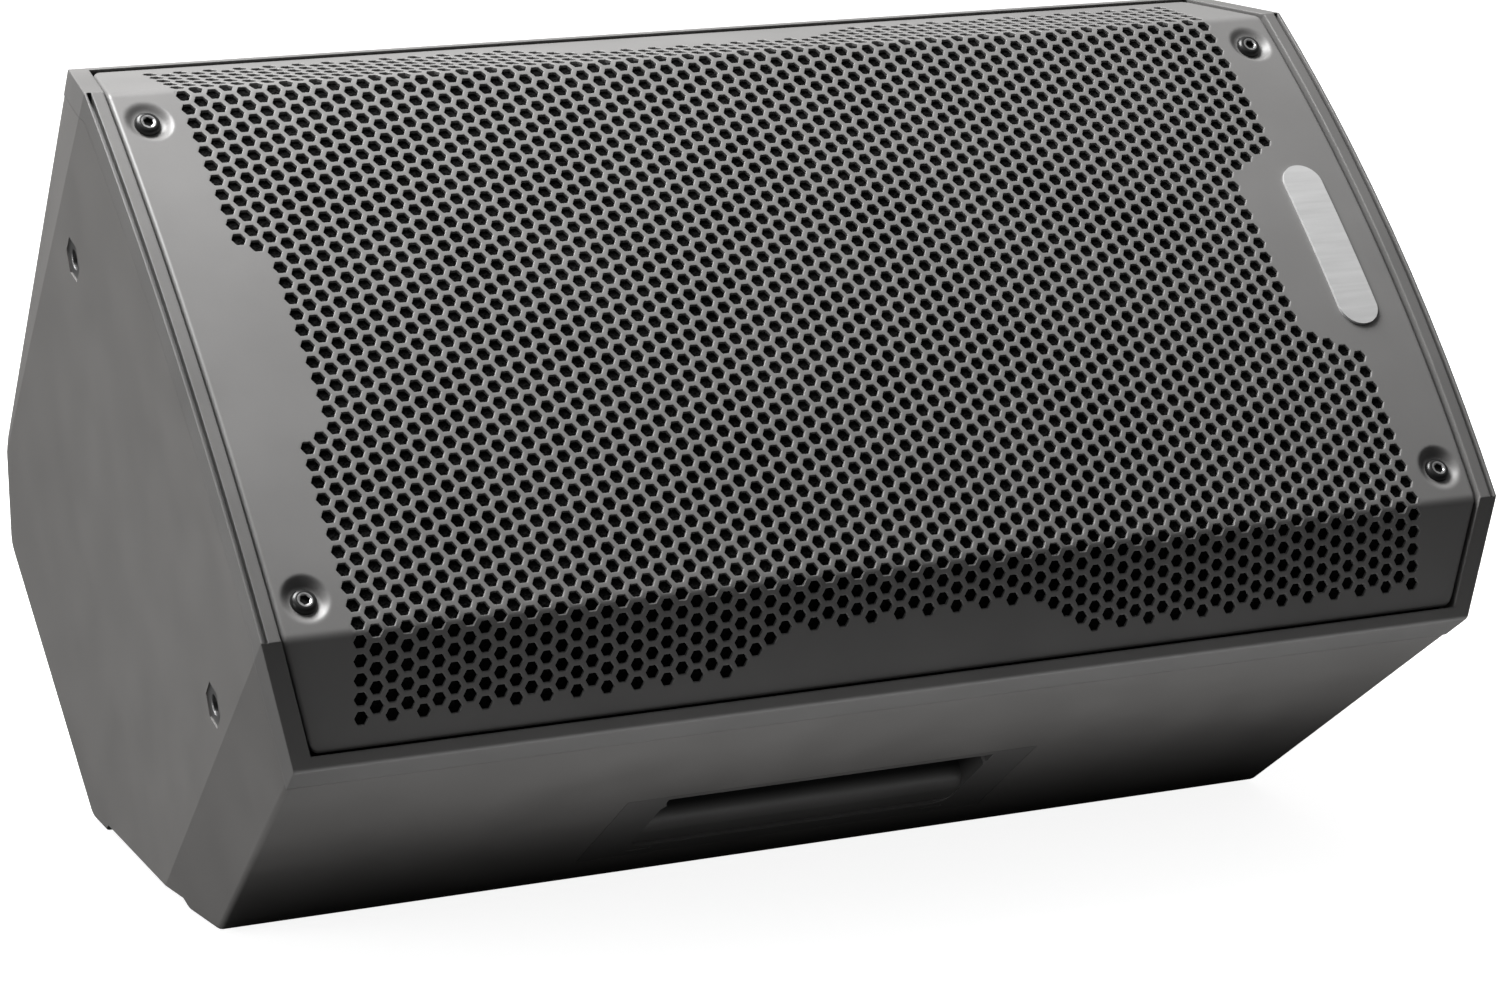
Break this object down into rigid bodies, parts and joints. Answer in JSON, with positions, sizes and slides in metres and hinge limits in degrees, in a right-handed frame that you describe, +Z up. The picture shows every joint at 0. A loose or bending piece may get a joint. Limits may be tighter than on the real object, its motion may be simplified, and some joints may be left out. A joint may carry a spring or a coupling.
{
  "type": "stage monitor wedge",
  "caption": "Compact two-way powered stage monitor that lies back on its floor facet, with perforated front, hand recess, pole socket and rear amplifier panel.",
  "frame": {"origin": "on the floor under the middle of the cabinet's footprint", "axes": "+X along the cabinet towards the end with the pole socket, +Y from the front towards the rear panel, +Z up"},
  "size_m": [0.4518, 0.3137, 0.2717],
  "materials": {
    "shell_plastic": "fine-grained moulded polypropylene, charcoal grey",
    "frame_plastic": "fine-grained moulded plastic, charcoal grey",
    "grille_steel": "satin charcoal powder coat",
    "foam_black": "open-cell acoustic foam",
    "screw_black": "black oxide",
    "screw_zinc": "zinc plated",
    "badge_metal": "satin anodised",
    "basket_steel": "black paint",
    "rubber_black": "matt",
    "cone_paper": "black pressed paper pulp",
    "former_film": "thin foil",
    "copper_wire": "enamelled copper",
    "spider_cloth": "resin-treated cloth",
    "motor_steel": "zinc plated",
    "ferrite": "sintered ferrite",
    "horn_plastic": "moulded",
    "handle_plastic": "moulded, fine grain",
    "socket_plastic": "moulded",
    "insert_steel": "zinc plated, dulled",
    "felt_grey": "needle felt",
    "panel_metal": "black powder coat",
    "sink_aluminium": "black anodised extrusion",
    "jack_plastic": "moulded",
    "tab_plastic": "moulded",
    "pin_brass": "plated",
    "switch_plastic": "moulded",
    "rocker_plastic": "moulded",
    "knob_plastic": "moulded, soft touch",
    "button_plastic": "moulded",
    "light_pipe": "clear moulded light pipe",
    "circuit_board": "solder mask",
    "capacitor_can": "sleeved can",
    "transformer_core": "varnished core",
    "wire_sheath": "flexible sheath"
  },
  "bodies": {
    "cabinet": {"cabinet_shell": "shell_plastic", "front_frame": "frame_plastic", "grille": "grille_steel", "grille_foam": "foam_black", "grille_screws": "screw_black", "frame_screws": "screw_zinc", "badge": "badge_metal", "woofer_basket": "basket_steel", "woofer_gasket": "rubber_black", "woofer_surround": "rubber_black", "spider": "spider_cloth", "woofer_top_plate": "motor_steel", "woofer_magnet": "ferrite", "woofer_yoke": "motor_steel", "woofer_screws": "screw_zinc", "horn_waveguide": "horn_plastic", "horn_screws": "screw_zinc", "driver_front_plate": "motor_steel", "driver_magnet": "ferrite", "driver_back_plate": "motor_steel", "driver_diaphragm": "former_film", "driver_rear_cap": "horn_plastic", "port_tubes": "horn_plastic", "handle_cup": "handle_plastic", "pole_socket": "socket_plastic", "rigging_inserts": "insert_steel", "floor_pads": "rubber_black", "end_feet": "rubber_black", "damping_wadding": "felt_grey", "amp_panel": "panel_metal", "panel_gasket": "rubber_black", "panel_screws": "screw_black", "heatsink": "sink_aluminium", "input_sockets": "jack_plastic", "link_socket": "jack_plastic", "contact_pins": "pin_brass", "mains_inlet": "jack_plastic", "switch_housing": "switch_plastic", "potentiometers": "motor_steel", "button_housings": "switch_plastic", "light_pipes": "light_pipe", "input_board": "circuit_board", "power_board": "circuit_board", "board_standoffs": "pin_brass", "filter_capacitors": "capacitor_can", "transformer": "transformer_core", "power_transistors": "switch_plastic", "speaker_leads": "wire_sheath"},
    "cone_assembly": {"woofer_cone": "cone_paper", "dust_cap": "cone_paper", "voice_coil_former": "former_film", "voice_coil_winding": "copper_wire"},
    "level_1": {"level_knob_1": "knob_plastic"},
    "level_2": {"level_knob_2": "knob_plastic"},
    "level_3": {"level_knob_3": "knob_plastic"},
    "rocker": {"power_rocker": "rocker_plastic"},
    "push_1": {"button_1": "button_plastic"},
    "push_2": {"button_2": "button_plastic"},
    "latch_1": {"latch_tab_1": "tab_plastic"},
    "latch_2": {"latch_tab_2": "tab_plastic"}
  },
  "joints": [
    {"name": "cone_travel", "type": "slide", "parent": "cabinet", "child": "cone_assembly", "axis": [0, -0.7071, 0.7071], "range_m": [-0.005, 0.005], "stiffness_N_per_m": 3000, "deforming": ["woofer_surround", "spider"]},
    {"name": "level_1_turn", "type": "hinge", "parent": "cabinet", "child": "level_1", "pos_m": [-0.125, 0.12297, 0.06506], "axis": [0, 0.7071, -0.7071], "range_deg": [-140, 140]},
    {"name": "level_2_turn", "type": "hinge", "parent": "cabinet", "child": "level_2", "pos_m": [-0.09, 0.12297, 0.06506], "axis": [0, 0.7071, -0.7071], "range_deg": [-140, 140]},
    {"name": "level_3_turn", "type": "hinge", "parent": "cabinet", "child": "level_3", "pos_m": [-0.055, 0.12297, 0.06506], "axis": [0, 0.7071, -0.7071], "range_deg": [-140, 140]},
    {"name": "power_rocker_tilt", "type": "hinge", "parent": "cabinet", "child": "rocker", "pos_m": [0.088, 0.10706, 0.05128], "axis": [1, 0, 0], "range_deg": [-20, 0]},
    {"name": "button_1_press", "type": "slide", "parent": "cabinet", "child": "push_1", "axis": [0, -0.7071, 0.7071], "range_m": [0, 0.0015], "stiffness_N_per_m": 500, "springref_m": -0.0005},
    {"name": "button_2_press", "type": "slide", "parent": "cabinet", "child": "push_2", "axis": [0, -0.7071, 0.7071], "range_m": [0, 0.0015], "stiffness_N_per_m": 500, "springref_m": -0.0005},
    {"name": "latch_1_press", "type": "slide", "parent": "cabinet", "child": "latch_1", "axis": [0, -0.7071, 0.7071], "range_m": [0, 0.0015], "stiffness_N_per_m": 500, "springref_m": -0.0005},
    {"name": "latch_2_press", "type": "slide", "parent": "cabinet", "child": "latch_2", "axis": [0, -0.7071, 0.7071], "range_m": [0, 0.0015], "stiffness_N_per_m": 500, "springref_m": -0.0005}
  ]
}
